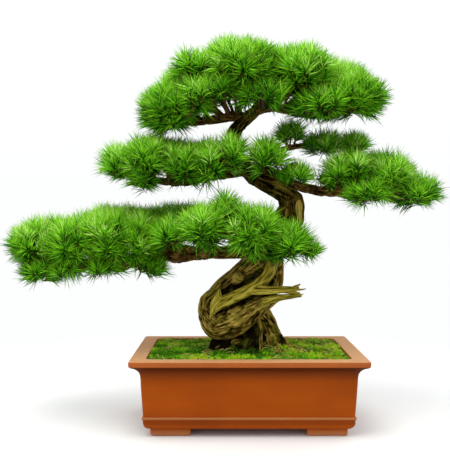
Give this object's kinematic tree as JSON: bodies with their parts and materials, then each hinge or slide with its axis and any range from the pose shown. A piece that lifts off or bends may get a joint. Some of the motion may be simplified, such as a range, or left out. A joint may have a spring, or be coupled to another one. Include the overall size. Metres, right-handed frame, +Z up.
{
  "type": "bonsai tree in a pot",
  "caption": "Potted miniature pine with a twisted trunk, flat needle pads on tiered branches, mossy soil and a rectangular footed stoneware tray.",
  "frame": {"origin": "on the surface the feet stand on, below the centre of the whole plant's bounding box", "axes": "+X to the right across the tree's width, which is its longest side; -Y towards the viewer, along the depth; +Z up"},
  "size_m": [0.8786, 0.3334, 0.7853],
  "materials": {
    "stoneware": "matte",
    "drain_mesh": "matte",
    "clip_wire": "satin",
    "gravel": "matte",
    "soil": "matte",
    "moss": "matte",
    "bark": "matte",
    "deadwood": "satin",
    "branch_bark": "matte",
    "needles": "satin"
  },
  "bodies": {
    "root": {"pot": "stoneware", "drain_screen_left": "drain_mesh", "drain_screen_right": "drain_mesh", "screen_clip_left": "clip_wire", "screen_clip_right": "clip_wire", "drainage_gravel": "gravel", "soil": "soil", "moss": "moss", "trunk": "bark", "deadwood": "deadwood", "lower_left_branch": "branch_bark", "lower_front_branch": "branch_bark", "lower_back_branch": "branch_bark", "middle_left_branch": "branch_bark", "middle_front_branch": "branch_bark", "middle_right_branch": "branch_bark", "right_front_branch": "branch_bark", "middle_back_branch": "branch_bark", "crown_left_branch": "branch_bark", "crown_right_branch": "branch_bark", "crown_top_foliage": "needles", "crown_left_foliage": "needles", "crown_right_foliage": "needles", "middle_left_foliage": "needles", "middle_front_foliage": "needles", "middle_back_foliage": "needles", "right_front_foliage": "needles", "middle_right_foliage": "needles", "lower_left_foliage": "needles", "left_tip_foliage": "needles", "lower_front_foliage": "needles", "lower_back_foliage": "needles"}
  },
  "joints": []
}
